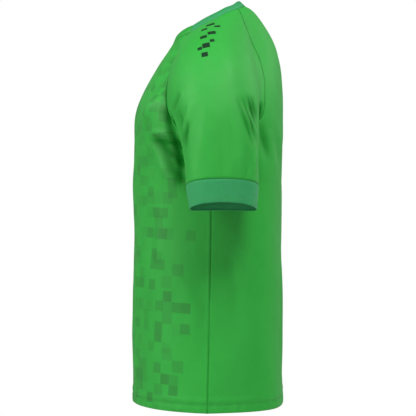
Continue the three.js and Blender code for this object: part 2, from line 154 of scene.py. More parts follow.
# The folds of each piece, by the way they are seen. Each row: the half width of the fold, its
# depth (a ridge is positive), how soft it is (2 is round, 1 is sharp), and the points of the
# line that it follows, in (y, z) seen from the side or (x, z) seen from the front
FOLDS = {
    ("sleeve_left", "both"): (
        (9, -6, 2, (-56, -160), (-46, -262)),
        (8, 4, 2, (-36, -172), (-45, -240)),
        (8, -4, 2, (84, -198), (60, -158)),
        (8, 3, 2, (76, -208), (50, -164)),
        (12, -2, 2, (22, -196), (52, -280)),
    ),
    ("sleeve_right", "both"): (
        (10, -5, 2, (-54, -166), (-48, -252)),
        (9, -4, 2, (82, -198), (58, -160)),
        (12, 3, 2, (28, -196), (52, -278)),
    ),
    ("front", "front"): (
        (15, -6, 2, (178, -206), (128, -292)),
        (14, 4, 2, (150, -150), (120, -215)),
        (15, -5, 2, (-176, -212), (-134, -284)),
        (14, 4, 2, (-146, -154), (-122, -224)),
        (16, 4, 2, (92, -470), (84, -668)),
        (17, -3.5, 2, (60, -440), (52, -640)),
        (16, 4, 2, (-78, -500), (-88, -676)),
        (8, -3.2, 2, (74, -456), (70, -560), (78, -640)),
        (9, 2.9, 2, (104, -420), (100, -520)),
        (10, -2.4, 2, (20, -300), (12, -380), (18, -470)),
        (14, 2.1, 2, (44, -250), (34, -340)),
        (9, -2.9, 2, (-62, -470), (-68, -600)),
        (12, 2.2, 2, (-30, -280), (-24, -360)),
        (10, -2.1, 2, (-40, -380), (-46, -500)),
    ),
    ("back", "front"): (
        (15, -4, 2, (150, -208), (108, -270)),
        (15, -4.5, 2, (-154, -206), (-112, -276)),
        (18, 3.5, 2, (70, -430), (84, -640)),
        (18, -3, 2, (-58, -470), (-70, -660)),
        (12, -2.6, 2, (38, -150), (26, -240), (30, -330)),
        (13, 2.2, 2, (-46, -170), (-38, -260), (-44, -340)),
        (11, -2.4, 2, (12, -420), (4, -520), (10, -620)),
        (12, 2.4, 2, (-100, -400), (-104, -500), (-98, -600)),
    ),
    ("sleeve_left", "left"): (
        # Creases at the front of the armpit
        (3.4, -3, 1.6, (-50, -150), (-60, -175), (-61, -197)),
        (3, 2, 2, (-44, -146), (-54, -168), (-58, -192)),
        (3.2, -3.4, 1.6, (-57, -180), (-53, -197), (-48, -214), (-46, -236)),
        (2.8, -2.4, 1.6, (-50, -176), (-47, -196), (-44, -214)),
        (2.8, 2, 2, (-32, -168), (-41, -199), (-43, -228), (-42, -262)),
        (3, -3, 1.6, (-34, -200), (-38, -218), (-41.5, -241), (-42, -270)),
        (3, -2.6, 1.7, (-47, -232), (-46, -258), (-44, -292)),
        (6, -2.6, 2, (-36, -166), (-41, -187), (-42, -208)),
        (6, -2, 2, (-25, -178), (-29, -217), (-32, -244)),
        (7, -1.9, 2, (-14, -172), (-18, -207), (-23, -232), (-27, -262)),
        # Creases that gather at the back of the armpit
        (3.2, -1.9, 1.7, (50, -160), (64, -198), (74, -232)),
        (2.8, -2.2, 1.6, (59, -158), (72, -192), (82, -228)),
        (2.6, -2.4, 1.6, (68, -153), (79, -184), (86, -210)),
        (2.4, -2.4, 1.6, (75, -154), (84, -184), (88, -202)),
        (3, -3.4, 1.5, (91, -160), (89, -186)),
        (5, -1.6, 2, (34, -178), (44, -224), (50, -246)),
        (8, -2, 2, (17, -226), (26, -258), (30, -288)),
        (4, -1.8, 2, (74, -246), (70, -270), (64, -290)),
        (5, 1.6, 2, (82, -244), (78, -266), (74, -288)),
        # Slack over the shoulder
        (15, -1.9, 2, (8, -60), (2, -118)),
        (14, 1.9, 2, (34, -78), (44, -140)),
    ),
    ("sleeve_right", "right"): (
        (4, -4.5, 1.6, (-52, -150), (-58, -172), (-59, -194)),
        (4, -4.5, 1.5, (-54, -190), (-50, -214), (-47, -236)),
        (3.4, 2.6, 1.8, (-46, -166), (-50, -186)),
        (3.2, -3.5, 1.6, (-44, -212), (-46, -246), (-42, -280)),
        (7, -2.6, 2, (-30, -180), (-34, -212)),
        (9, -2.2, 2, (-12, -198), (-20, -240)),
        (5, -3.8, 1.8, (62, -160), (70, -186), (78, -204)),
        (4.5, -3.8, 1.6, (76, -166), (82, -190)),
        (4, 2.6, 2, (70, -172), (80, -208)),
        (10, -2.7, 2, (30, -210), (42, -244)),
        (6, -2.2, 2, (68, -252), (62, -282)),
        (15, -1.9, 2, (14, -66), (4, -124)),
    ),
    ("front", "left"): (
        # From the armpit over the chest, and below the arm
        (4, -4, 1.5, (-70, -160), (-69, -176), (-66, -192)),
        (6.5, -6, 1.7, (-74, -176), (-66, -198), (-57, -222), (-49, -250), (-46, -292)),
        (9, 3.5, 2, (-85, -143), (-94, -156), (-102, -168), (-110, -186)),
        (6, -5, 1.8, (-92, -220), (-70, -226), (-10, -242)),
        (7.5, -5, 1.8, (-92, -222), (-68, -244), (-8, -290)),
        (7, -4, 1.8, (-90, -226), (-74, -252), (-46, -290), (-10, -316)),
        (7, 3, 2, (-96, -208), (-72, -213), (-56, -216)),
        (9, 3.2, 2, (-96, -238), (-84, -262), (-66, -290), (-50, -312)),
        (10, -2.6, 2, (-101, -356), (-100, -396), (-99, -436)),
        (11, 2.2, 2, (-86, -380), (-84, -440)),
        (12, -2.4, 2, (-14, -492), (-2, -520), (6, -552)),
        (13, 2.1, 2, (-40, -470), (-26, -520), (-20, -570)),
    ),
    ("front", "right"): (
        (5, -4.5, 1.7, (-72, -168), (-68, -186), (-60, -208)),
        (8, -3.5, 1.8, (-96, -226), (-78, -230), (-58, -238)),
        (9, 3.2, 2, (-90, -150), (-100, -170), (-108, -192)),
        (11, -2.4, 2, (-98, -350), (-102, -410), (-96, -450)),
        (12, -2.2, 2, (-20, -430), (-6, -480), (2, -540)),
    ),
    ("back", "left"): (
        (7, -3.2, 1.8, (90, -196), (96, -222), (104, -250)),
        (9, 2.6, 2, (80, -210), (84, -240), (92, -280)),
        (12, -2.1, 2, (40, -420), (48, -480), (50, -540)),
    ),
    ("back", "right"): (
        (7, -3.2, 1.8, (88, -190), (94, -216), (106, -256)),
        (12, -2.1, 2, (36, -380), (46, -450), (44, -530)),
    ),
}

# The unevenness of the cloth between the folds: waves that cross it, each with the length of
# one wave, its height, the way it runs and where it starts
WAVES = table(
    "length height x y z start",
    (190, 0.9, 0.8, 0.3, 0.5, 0.4),
    (131, 0.6, -0.5, 0.6, 0.6, 2.1),
    (88, 0.35, 0.3, -0.7, 0.7, 4.0),
    (61, 0.22, 0.9, 0.4, -0.2, 1.2),
    (43, 0.12, -0.6, 0.5, 0.7, 5.3),
    (29, 0.07, 0.4, 0.8, -0.5, 3.1),
)

# The depth of a crease, in its half widths, from which its bottom takes the full painted shade,
# and the softness of a round fold, which gets no painted shade. Cloth that faces forwards or back
# takes little of the painted shade of a crease that is drawn from the side
FULLY_STEEP = 1.0
ROUND = 2
SIDE_ON = 1.6

# The dips and ridges where a piece is sewn. Each dip: the edge that it runs along, how far from
# the edge it lies, its depth and its half width. Each ridge: the edge, where it starts and
# stops, and its height
PANEL_DIPS = (("top", 0, 0.8, 1.5), ("bottom", 14.5, 0.45, 1.8))
DIPS = {
    "front": PANEL_DIPS,
    "back": PANEL_DIPS,
    "sleeve": (("bottom", 0, 1, 1.5), ("top", 0, 1.2, 1.3)),
    "cuff": (("top", 0, 1, 1.5),),
    "collar": (("bottom", 0, 0.8, 1.3),),
}
PANEL_RIDGES = (("bottom", 2, 12, 0.5), ("bottom", 18, 25, 0.7))
RIDGES = {
    "front": (*PANEL_RIDGES, ("side", 2, 5.5, 0.5)),
    "back": PANEL_RIDGES,
    "sleeve": (),
    "cuff": (("bottom", 1, 6, 0.5),),
    "collar": (),
}

# The seams at the sides of the panels, below the underarm and above it
SIDE_SEAM_DEPTH = 0.7
RAGLAN_SEAM_DEPTH = 1.2
SEAM_WIDTH = 1.3

# Painted shade: how dark the seam dips get for each millimetre of depth, and the neckband at its upper
# edge
SEAM_SHADE = 0.5
BAND_SHADE = 0.4

# The puckers along the hem: the length of each wave and where it starts
PUCKERS = ((17, 0.3), (23.5, 1.9), (31, 4.4))
PUCKER_HEIGHT = 0.25
PUCKER_MIDDLE = 13
PUCKER_WIDTH = 12

# How round the cloth turns at an edge, at the hems and at the seams
HEM_ROLL = 0.7
SEAM_ROLL = 0.45

# Rows of stitches: the pieces, and how far each row is above their lower edge
STITCHES = {
    "hem_stitches": (("front", "back"), (13, 15.6)),
    "cuff_stitches": (("cuff_left", "cuff_right"), (5.5, 7.5)),
}

# The share of the way from one stitch to the next that the thread shows
STITCH_SHARE = 0.8

# The print over the shoulder: small squares in loose steps. Each has its middle, as seen from
# the side, and its size
PRINT_SQUARES = table(
    "y z size",
    (5, -17, 15), (17, -22, 10), (-6, -29, 11), (6, -37, 14), (-8, -46, 12),
    (8, -53, 8), (-2, -61, 13), (-12, -68, 8), (-4, -79, 11),
)
PRINT_TURN = 0.12
PRINT_THICKNESS = 0.16
PRINT_STEPS = 4

# From the middle of the front to its side seam, along the cloth, in metres
HALF_FRONT = 0.26

# The two grids of the pattern on the front: how large beside the set size, turn, and strength
GRIDS = ((1, 0.03, 0.95), (1.16, -0.02, 0.5))

# The floor that the wearer would stand on, in metres
FLOOR_DEPTH = 1.45
FLOOR_RADIUS = 5.0
FLOOR_SIDES = 96

# Area lights that look at the middle of the jersey: name, place in metres, size, power in watts
LIGHTS = (
    ("top", (2.1, 0.95, 2.75), 1.4, 110),
    ("front", (1.2, -2.7, 1.3), 1.2, 70),
    ("back", (-1.0, 2.6, 1.3), 1.2, 28),
)
AIM = (0, 0, -0.33)
SOFT_LIGHT = 0.24

# The camera stands level at the wearer's left. One pixel of the square photograph, which is
# 416 pixels wide, is 1.84 mm at the middle of the jersey
CAMERA_DISTANCE = 3.08
CAMERA_HEIGHT = -0.34
PHOTO_WIDTH = 416 * 1.84 * MM
SENSOR = 36.0

# The size each piece was cut to, with its hems and seam allowances, and its flat area
Cut = namedtuple("Cut", "width length area")


def length(name, description, value):
    """A setting for a length, whose first value is given in millimetres."""
    return FloatProperty(name=name, description=description, default=value * MM, unit="LENGTH")


def colour(name, description, value):
    """A setting for a colour."""
    return FloatVectorProperty(
        name=name, description=description, subtype="COLOR", default=value, min=0, max=1,
    )


class JerseySizes(bpy.types.PropertyGroup):
    """Sizes of the cloth and of its sewing."""

    cloth: length("Cloth", "Thickness of the knit", 0.7)
    hem: length("Hem", "Width of the turned hem", 16)
    allowance: length("Seam allowance", "Cloth behind each seam", 5)
    band: length("Neckband", "Width of the neckband", 14.5)
    stitch: length("Stitch", "From one stitch to the next", 3.2)
    thread: length("Thread", "Thickness of the sewing thread", 0.5)
    square: length("Squares", "Size of a square of the pattern", 18)


class JerseyColours(bpy.types.PropertyGroup):
    """Colours of the cloth, thread and print."""

    body: colour("Body", "Knit of the body and sleeves", (0.004, 0.36, 0.02))
    # The squares' colour also gives the dark colour of the shade painted into the body knit's creases and
    # seams
    squares: colour("Squares", "The darker squares on the front", (0.0, 0.17, 0.008))
    band: colour("Bands", "Rib of the cuffs and neckband", (0.02, 0.31, 0.09))
    thread: colour("Thread", "Sewing thread", (0.035, 0.32, 0.05))
    print: colour("Print", "Film on the shoulder", (0.003, 0.028, 0.008))


def between(rows, key, column, value):
    """Smooth values of one column between the rows of a table, whose key grows."""
    keys, values = rows[key], rows[column]
    last = len(keys) - 1
    order = np.arange(last + 1)
    before, after = np.maximum(order - 1, 0), np.minimum(order + 1, last)
    slope = (values[after] - values[before]) / (keys[after] - keys[before])
    i = np.clip(np.searchsorted(keys, value) - 1, 0, last - 1)
    span = keys[i + 1] - keys[i]
    f = np.clip((value - keys[i]) / span, 0, 1)
    eased = values[i] + (values[i + 1] - values[i]) * f * f * (3 - 2 * f)
    return eased + span * (f * (1 - f) ** 2 * slope[i] - f * f * (1 - f) * slope[i + 1])


def unit(vectors):
    return vectors / np.maximum(np.linalg.norm(vectors, axis=-1, keepdims=True), 1e-9)


def mix(a, b, f):
    return a + (b - a) * f


def level_points(side, level, t):
    """Points of a panel at each level, from its right end (-1) over the middle to the left (1)."""
    square = FRONT_SQUARENESS if side == "front" else BACK_SQUARENESS

    def across(angle):
        return np.sin(angle) + square * np.sin(3 * angle)

    def depth(angle):
        return (np.cos(angle) - square * np.cos(3 * angle)) / (1 - square)

    rows = {name: np.asarray(column, float)[:, None] for name, column in level.items()}
    turn = np.radians(rows["turn"])
    angle = turn * np.abs(t)
    middle_z = rows["z"] + rows["lift"]
    middle_y = rows.get("middle_y")
    if middle_y is None:
        middle_y = between(MIDDLE_LINE[side], "z", "y", middle_z)
    x = np.sign(t) * rows["half_width"] * across(angle) / across(np.pi / 2)
    y = mix(rows["seam"], middle_y, depth(angle))
    way = (1 - depth(angle)) / (1 - depth(turn))
    z = mix(middle_z, rows["z"], way) + rows["bow"] * 4 * way * (1 - way)
    return np.stack(np.broadcast_arrays(x, y, z), axis=-1)


def along_line(points):
    """How far along a line each of its points lies, from 0 to 1."""
    steps = np.linalg.norm(np.diff(points, axis=0), axis=1)
    reach = np.concatenate(([0], np.cumsum(steps)))
    return reach / reach[-1]


def with_along(side):
    rows = dict(RAGLAN[side])
    rows["along"] = along_line(level_points(side, rows, np.array([1.0]))[:, 0])
    return rows


def raglan_levels(side, along):
    rows = with_along(side)
    names = ("z", "lift", "half_width", "seam", "turn", "bow")
    return {name: between(rows, "along", name, along) for name in names}


def tube_levels(side, z):
    """Levels of the body below the underarm."""
    level = {name: between(BODY, "z", name, z) for name in ("half_width", "seam")}
    low = (z - BODY["z"][-1]) / (BODY["z"][0] - BODY["z"][-1])
    level["z"] = z
    level["lift"] = HEM_RISE[side] * low**2
    level["turn"] = 0 * z + 90
    level["bow"] = 0 * z
    way = -1 if side == "front" else 1
    level["middle_y"] = way * between(BODY, "z", side, z)
    return level


def close_to_ends(count, close):
    """Steps from 0 to 1 which are finer at both ends, the more so the nearer `close` is to 0.5."""
    u = np.linspace(-1, 1, count + 1)
    return (u * (1 + close) - close * u**3 + 1) / 2


def panel(side):
    f = np.linspace(0, 1, BODY_ROWS, endpoint=False)
    rise = f * (0.35 + 0.65 * f) * (1.6 - 0.6 * f)
    tube = tube_levels(side, mix(BODY["z"][0], BODY["z"][-1], rise))
    t = close_to_ends(2 * BODY_COLUMNS, 0.36) * 2 - 1
    way = 1 if side == "front" else -1
    lower = level_points(side, tube, way * t)
    upper = level_points(side, raglan_levels(side, RAGLAN_STEPS), way * t)
    return np.concatenate((lower, upper))


RAGLAN_STEPS = close_to_ends(RAGLAN_ROWS, 0.2)


def ring_points(ring, share):
    angle = math.pi + 2 * math.pi * share
    c = np.cos(angle)
    across = (c - CUFF_SQUARENESS * np.cos(3 * angle)) / (1 - CUFF_SQUARENESS)
    depth = (np.sin(angle) + CUFF_SQUARENESS * np.sin(3 * angle)) / (1 - CUFF_SQUARENESS)
    x = ring.x + ring.half_x * across
    y = ring.y + ring.half_y * depth
    return np.stack((x, y, ring.z + ring.rise * c + ring.arch * c * c), axis=-1)


def sleeve_columns():
    """The upper edge of the left sleeve and the share of the way round of each column."""
    edges = {}
    for side in ("front", "back"):
        edges[side] = level_points(side, raglan_levels(side, RAGLAN_STEPS), np.array([1.0]))[:, 0]
    corners = np.array([edges["front"][-1], *SLEEVE_NECK, edges["back"][-1]], float)
    neck = {"along": along_line(corners)}
    neck.update(zip("xyz", corners.T))
    f = np.linspace(0, 1, NECK_COLUMNS + 1)
    neckline = np.stack([between(neck, "along", axis, f) for axis in "xyz"], axis=-1)
    top = np.concatenate((edges["front"][:-1], neckline, edges["back"][-2:0:-1]))
    share = np.concatenate((
        FRONT_SHARE * RAGLAN_STEPS[:-1],
        FRONT_SHARE + NECK_SHARE * f,
        1 - FRONT_SHARE * RAGLAN_STEPS[-2:0:-1],
    ))
    return top, share


def sleeve():
    """Each column is a curve from the cuff seam to the upper edge through the middle ring."""
    top, share = sleeve_columns()
    ring = SLEEVE_MIDDLE
    angle = math.pi + 2 * math.pi * share
    out = np.cos(angle)
    middle = np.stack((
        ring.x + ring.lean_x * out,
        ring.y + ring.half_y * np.sin(angle),
        ring.z + ring.lean_z * out,
    ), axis=-1)
    foot = ring_points(CUFF_SEAM, share)
    hang = foot.copy()
    hang[:, 2] = middle[:, 2] - ring.hang
    reach = (8 * middle - top - foot - 3 * hang) / 3
    t = close_to_ends(SLEEVE_ROWS, 0.3)[:, None, None]
    return (1 - t)**3 * foot + 3 * t * (1 - t)**2 * hang + 3 * t * t * (1 - t) * reach + t**3 * top


def cuff():
    _, share = sleeve_columns()
    f = close_to_ends(CUFF_ROWS, 0.3)[:, None, None]
    return mix(ring_points(CUFF_EDGE, share), ring_points(CUFF_SEAM, share), f)


def neckband(edge, width):
    """The band round the whole neck, which stands on the neck edge and leans in."""
    reach = 6
    ahead, behind = np.roll(edge, -reach, axis=0), np.roll(edge, reach, axis=0)
    x, y, _ = (ahead - behind).T
    inward = unit(np.stack((-y, x, 0 * x), axis=-1))
    lean = np.radians(between(BAND_LEAN, "y", "lean", edge[:, 1]))
    w = width * np.linspace(0, 1, BAND_ROWS + 1)[:, None]
    grid = edge + inward * (w * np.sin(lean))[..., None]
    grid[..., 2] += w * np.cos(lean)
    return grid


def mirrored(grid):
    return (grid * (-1, 1, 1))[:, ::-1]


class Piece:
    """A piece of cloth: rows of points from the bottom up, each anticlockwise from above."""

    def __init__(self, name, points, closed):
        self.name = name
        self.points = points
        self.closed = closed
        self.facing = None
        self.hollow = None

    def padded(self):
        """The grid with one more row and column all round, to take differences on."""
        wide = np.pad(self.points, ((1, 1), (0, 0), (0, 0)), mode="edge")
        return np.pad(wide, ((0, 0), (1, 1), (0, 0)), mode="wrap" if self.closed else "edge")

    def facings(self):
        p = self.padded()
        across = p[1:-1, 2:] - p[1:-1, :-2]
        up = p[2:, 1:-1] - p[:-2, 1:-1]
        return unit(np.cross(across, up))

    def edge(self):
        """Which points lie on an edge."""
        on = np.zeros(self.points.shape[:2], bool)
        on[[0, -1]] = True
        if not self.closed:
            on[:, [0, -1]] = True
        return on

    def reach(self, axis):
        """Distance along the cloth of each point from the bottom (axis 0) or the first column (1)."""
        steps = np.linalg.norm(np.diff(self.points, axis=axis), axis=-1)
        first = np.zeros_like(np.take(steps, [0], axis=axis))
        return np.concatenate((first, np.cumsum(steps, axis=axis)), axis=axis)


def shared_on_seams(pieces, values):
    """Where pieces are sewn together their points take the mean of what the pieces say."""
    places = np.concatenate([piece.points[piece.edge()] for piece in pieces])
    said = np.concatenate([value[piece.edge()] for piece, value in zip(pieces, values)])
    tree = KDTree(len(places))
    for index, place in enumerate(places):
        tree.insert(place, index)
    tree.balance()
    together = [[found[1] for found in tree.find_range(place, 0.03)] for place in places]
    mean = np.array([said[group].mean(axis=0) for group in together])
    start = 0
    for piece, value in zip(pieces, values):
        count = piece.edge().sum()
        value[piece.edge()] = mean[start:start + count]
        start += count
    return values


def fold_weight(seen, facing):
    """How much of a fold a point takes: none where the cloth turns away from the way it is seen."""
    if seen == "both":
        return np.abs(facing[..., 0])
    if seen == "front":
        return np.abs(facing[..., 1])
    toward = facing[..., 0] if seen == "left" else -facing[..., 0]
    return np.clip(toward / 0.25, 0, 1) * (2 - toward)


def nearest_on(line, place):
    """How far each place is from a line, and how far along the line its nearest point lies."""
    start = along_line(line)
    nearest = np.full(place.shape[:2], np.inf)
    along = np.zeros(place.shape[:2])
    for a, b, from_share, to_share in zip(line[:-1], line[1:], start[:-1], start[1:]):
        g = np.clip(((place - a) @ (b - a)) / ((b - a) @ (b - a)), 0, 1)
        off = np.linalg.norm(place - a - g[..., None] * (b - a), axis=-1)
        closer = off < nearest
        nearest = np.where(closer, off, nearest)
        along = np.where(closer, mix(from_share, to_share, g), along)
    return nearest, along


def fold_height(piece):
    """How far the folds raise or sink each point of a piece, and the shade painted at the bottom of its
    sharp creases.
    """
    height = np.zeros(piece.points.shape[:2])
    crease_shade = np.zeros_like(height)
    side_on = np.minimum(1, SIDE_ON * np.abs(piece.facing[..., 0])) ** 2
    for (name, seen), folds in FOLDS.items():
        if name != piece.name:
            continue
        place = piece.points[..., [0 if seen == "front" else 1, 2]]
        weight = fold_weight(seen, piece.facing)
        for width, depth, soft, *line in folds:
            nearest, along = nearest_on(np.array(line, float), place)
            taper = 0.35 + 0.65 * np.sin(np.pi * along)
            rise = depth * taper * np.exp(-(nearest / width) ** soft) * weight
            height += rise
            # Sharp creases paint shade into the cloth at their bottoms
            if soft < ROUND:
                crease_shade += rise / width * side_on
    return height, -crease_shade


def wave_height(points):
    total = np.zeros(points.shape[:2])
    for length, height, x, y, z, start in zip(*WAVES.values()):
        way = np.array((x, y, z)) / np.linalg.norm((x, y, z))
        total += height * np.sin(2 * np.pi * (points @ way) / length + start)
    return total


def seam_height(piece):
    """The dips and low ridges where the cloth is sewn, and the shade painted into the dips."""
    up, across = piece.reach(0), piece.reach(1)
    away = {"bottom": up, "top": up[-1:] - up, "side": np.minimum(across, across[:, -1:] - across)}
    kind = piece.name.split("_")[0]
    dips = DIPS[kind]
    if kind in ("front", "back"):
        over_arm = piece.points[..., 2] >= BODY["z"][-1]
        depth = np.where(over_arm, RAGLAN_SEAM_DEPTH, SIDE_SEAM_DEPTH)
        dips = (*dips, ("side", 0, depth, SEAM_WIDTH))
    height = np.zeros(piece.points.shape[:2])
    shade = np.zeros_like(height)
    for edge, place, depth, width in dips:
        profile = depth * np.exp(-((away[edge] - place) / width) ** 2)
        height -= profile
        shade = np.maximum(shade, SEAM_SHADE * profile)
    for edge, near, far, rise in RIDGES[kind]:
        start = 1 + np.exp((near - away[edge]) / 0.5)
        stop = 1 + np.exp((away[edge] - far) / 0.7)
        height += rise / start / stop
    # Painted shade: the neckband gets darker towards its upper edge
    if kind == "collar":
        shade = np.maximum(shade, BAND_SHADE * up / up.max())
    return height, shade


def pucker_height(piece):
    """Small puckers along the stitched hem."""
    if piece.name not in ("front", "back"):
        return 0
    up = piece.reach(0)
    around = piece.reach(1)[:1] - piece.reach(1)[:1].max() / 2
    wave = sum(np.sin(2 * np.pi * around / length + start) for length, start in PUCKERS)
    return PUCKER_HEIGHT * wave * np.exp(-((up - PUCKER_MIDDLE) / PUCKER_WIDTH) ** 2)


def on_cloth(piece, row, column):
    """Places and facings on a piece, at fractions of its rows and columns."""
    grid = np.concatenate((piece.points, piece.facing), axis=-1)
    count = grid.shape[1]
    i = np.clip(np.floor(row).astype(int), 0, len(grid) - 2)
    j = np.floor(column).astype(int)
    if not piece.closed:
        j = np.clip(j, 0, count - 2)
    f, g = (row - i)[..., None], (column - j)[..., None]
    low = mix(grid[i, j % count], grid[i, (j + 1) % count], g)
    high = mix(grid[i + 1, j % count], grid[i + 1, (j + 1) % count], g)
    both = mix(low, high, f)
    return both[..., :3], unit(both[..., 3:])


def row_above_edge(piece, distance):
    """A line on the cloth at a distance from its lower edge."""
    reach = piece.reach(0)
    columns = np.arange(reach.shape[1] + piece.closed)
    rows = [np.interp(distance, reach[:, j % reach.shape[1]], np.arange(len(reach))) for j in columns]
    return on_cloth(piece, np.array(rows), columns.astype(float))


def stitches_along(line, pitch, thread):
    """Points of the stitches on a line: five sides and two ends that dive into the cloth."""
    points, facing = line
    steps = np.linalg.norm(np.diff(points, axis=0), axis=1)
    reach = np.concatenate(([0], np.cumsum(steps)))
    starts = np.arange(pitch / 2, reach[-1] - pitch, pitch)

    def at(distance):
        return np.stack([np.interp(distance, reach, points[:, k]) for k in range(3)], axis=-1)

    first, last = at(starts), at(starts + STITCH_SHARE * pitch)
    up = np.stack([np.interp(starts, reach, facing[:, k]) for k in range(3)], axis=-1)
    side = unit(np.cross(up, last - first))
    shapes = []
    for share in (0.3, 0.7):
        middle = mix(first, last, share) + up * thread * 0.3
        for angle in np.radians((0, 72, 144, 216, 288)):
            shapes.append(middle + thread / 2 * (side * math.cos(angle) + up * math.sin(angle)))
    shapes.append(first - up * thread * 0.4)
    shapes.append(last - up * thread * 0.4)
    return np.stack(shapes, axis=1)


def mesh_of(name, places, faces):
    """A mesh from places in millimetres and their faces."""
    mesh = bpy.data.meshes.new(name)
    mesh.from_pydata((places.reshape(-1, 3) * MM).tolist(), [], faces.tolist())
    return mesh


def stitch_mesh(name, lines, pitch, thread):
    shapes = np.concatenate([stitches_along(line, pitch, thread) for line in lines])
    faces = []
    for k in range(5):
        n = (k + 1) % 5
        faces += [(k, n, 5 + n), (k, 5 + n, 5 + k), (10, n, k), (11, 5 + k, 5 + n)]
    faces = np.array(faces)[None] + 12 * np.arange(len(shapes))[:, None, None]
    mesh = mesh_of(name, shapes, faces.reshape(-1, 3))
    mesh.shade_smooth()
    return mesh


def print_patch(piece, way, y, z, size):
    """Rows of points on the sleeve under one square of the print."""
    shown = piece.facing[..., 0] * way > 0.1
    off = np.hypot(piece.points[..., 1] - y, piece.points[..., 2] - z)
    i, j = np.unravel_index(np.argmin(np.where(shown, off, np.inf)), off.shape)
    here = piece.points[i, j]
    by_row = piece.points[i + 1, j] - here
    by_column = piece.points[i, (j + 1) % piece.points.shape[1]] - here
    out = piece.facing[i, j]
    back = unit(np.array((0.0, math.cos(PRINT_TURN), math.sin(PRINT_TURN))))
    across = unit(back - out * (back @ out))
    up = np.cross(out, across) * way
    basis = np.stack((by_row, by_column), axis=1)
    steps = np.linspace(-size / 2, size / 2, PRINT_STEPS + 1)
    b, a = np.meshgrid(steps, steps, indexing="ij")
    offset = a[..., None] * across + b[..., None] * up
    moved = np.linalg.lstsq(basis, offset.reshape(-1, 3).T, rcond=None)[0]
    rows = i + moved[0].reshape(a.shape)
    columns = j + moved[1].reshape(a.shape)
    places, facing = on_cloth(piece, rows, columns)
    return places + facing * PRINT_THICKNESS, facing


def face(pieces):
    """Gives each point its facing, the same on both sides of a seam."""
    for piece, facing in zip(pieces, shared_on_seams(pieces, [piece.facings() for piece in pieces])):
        piece.facing = unit(facing)


@functools.lru_cache(maxsize=2)
def sewn_pieces(band_width):
    """All the pieces, folded, with the facing of the cloth at each point."""
    front, back, left = panel("front"), panel("back"), sleeve()
    right = mirrored(left)
    neck = left[-1, RAGLAN_ROWS:RAGLAN_ROWS + NECK_COLUMNS + 1]
    edges = (front[-1], neck, back[-1], mirrored(neck[None])[0])
    band = neckband(np.concatenate([edge[:-1] for edge in edges]), band_width / MM)
    split = 2 * BODY_COLUMNS
    pieces = [
        Piece("front", front, False),
        Piece("back", back, False),
        Piece("sleeve_left", left, True),
        Piece("sleeve_right", right, True),
        Piece("cuff_left", cuff(), True),
        Piece("cuff_right", mirrored(cuff()), True),
        Piece("collar", np.concatenate((band[:, split:], band[:, :1]), axis=1), False),
        Piece("collar_front", band[:, :split + 1], False),
    ]
    face(pieces)
    heights = []
    for piece in pieces:
        (fold, crease_shade), (seam, shade) = fold_height(piece), seam_height(piece)
        # Painted shade on each point: sharp creases, seam dips and the neckband's upper edge
        piece.hollow = np.clip(np.maximum(crease_shade / FULLY_STEEP, shade), 0, 1)
        heights.append(fold + seam + wave_height(piece.points) + pucker_height(piece))
    heights = shared_on_seams(pieces, heights)
    for piece, height in zip(pieces, heights):
        piece.points = piece.points + piece.facing * height[..., None]
    face(pieces)
    return {piece.name: piece for piece in pieces}


def turned_in(points, facing, inner, depth):
    """The seam allowance past an edge: it rolls over and goes in behind the seam."""
    toward, roll = unit(inner - points), SEAM_ROLL
    rows = [points + toward * roll]
    for angle in (30, 60, 90):
        s, c = math.sin(math.radians(angle)), math.cos(math.radians(angle))
        rows.append(points + toward * roll * (1 - s) - facing * roll * (1 - c))
    rows.append(points - facing * (roll + depth / 2) + toward * 0.1)
    rows.append(points - facing * (roll + depth) + toward * 0.3)
    return rows


def turned_up(grid, facing, depth):
    """A hem past the first row: it rolls over the edge and goes back up inside, by depth."""
    up, roll = unit(grid[1] - grid[0]), HEM_ROLL
    rows = []
    for angle in (30, 60, 90, 120, 150, 180):
        s, c = math.sin(math.radians(angle)), math.cos(math.radians(angle))
        rows.append(grid[0] - up * roll * s - facing[0] * roll * (1 - c))
    reach = np.linalg.norm(np.diff(grid, axis=0), axis=-1).mean(axis=1).cumsum()
    last = int(np.searchsorted(reach, depth)) + 1
    for i in range(1, last + 1):
        rows.append(grid[i] - facing[i] * 2 * roll)
    return rows


def cloth_grid(piece, sizes, folded_edge, folded_depth, seams):
    """The outer face of a piece with its allowances, hems and folded edges, and its painted shade."""
    allowance = sizes.allowance / MM
    grid, facing = piece.points, piece.facing
    below, above = [], []
    if folded_edge == "bottom":
        below = turned_up(grid, facing, folded_depth)
    elif "bottom" in seams:
        below = turned_in(grid[0], facing[0], grid[1], allowance)
    if folded_edge == "top":
        above = turned_up(grid[::-1], facing[::-1], folded_depth)
    elif "top" in seams:
        above = turned_in(grid[-1], facing[-1], grid[-2], allowance)
    first = 1 if "bottom" in seams else 0
    last = len(grid) - 1 if "top" in seams else len(grid)
    rows = np.array([*below[::-1], *grid[first:last], *above])
    source = [0] * len(below) + list(range(first, last)) + [len(grid) - 1] * len(above)
    hollow = piece.hollow[source]
    if "sides" not in seams:
        return rows, hollow
    ways = facing[source]
    left = turned_in(rows[:, 0], ways[:, 0], rows[:, 1], allowance)
    right = turned_in(rows[:, -1], ways[:, -1], rows[:, -2], allowance)
    columns = [*left[::-1], *rows[:, 1:-1].swapaxes(0, 1), *right]
    edge = len(left) - 1
    return np.stack(columns, axis=1), np.pad(hollow, ((0, 0), (edge, edge)), mode="edge")


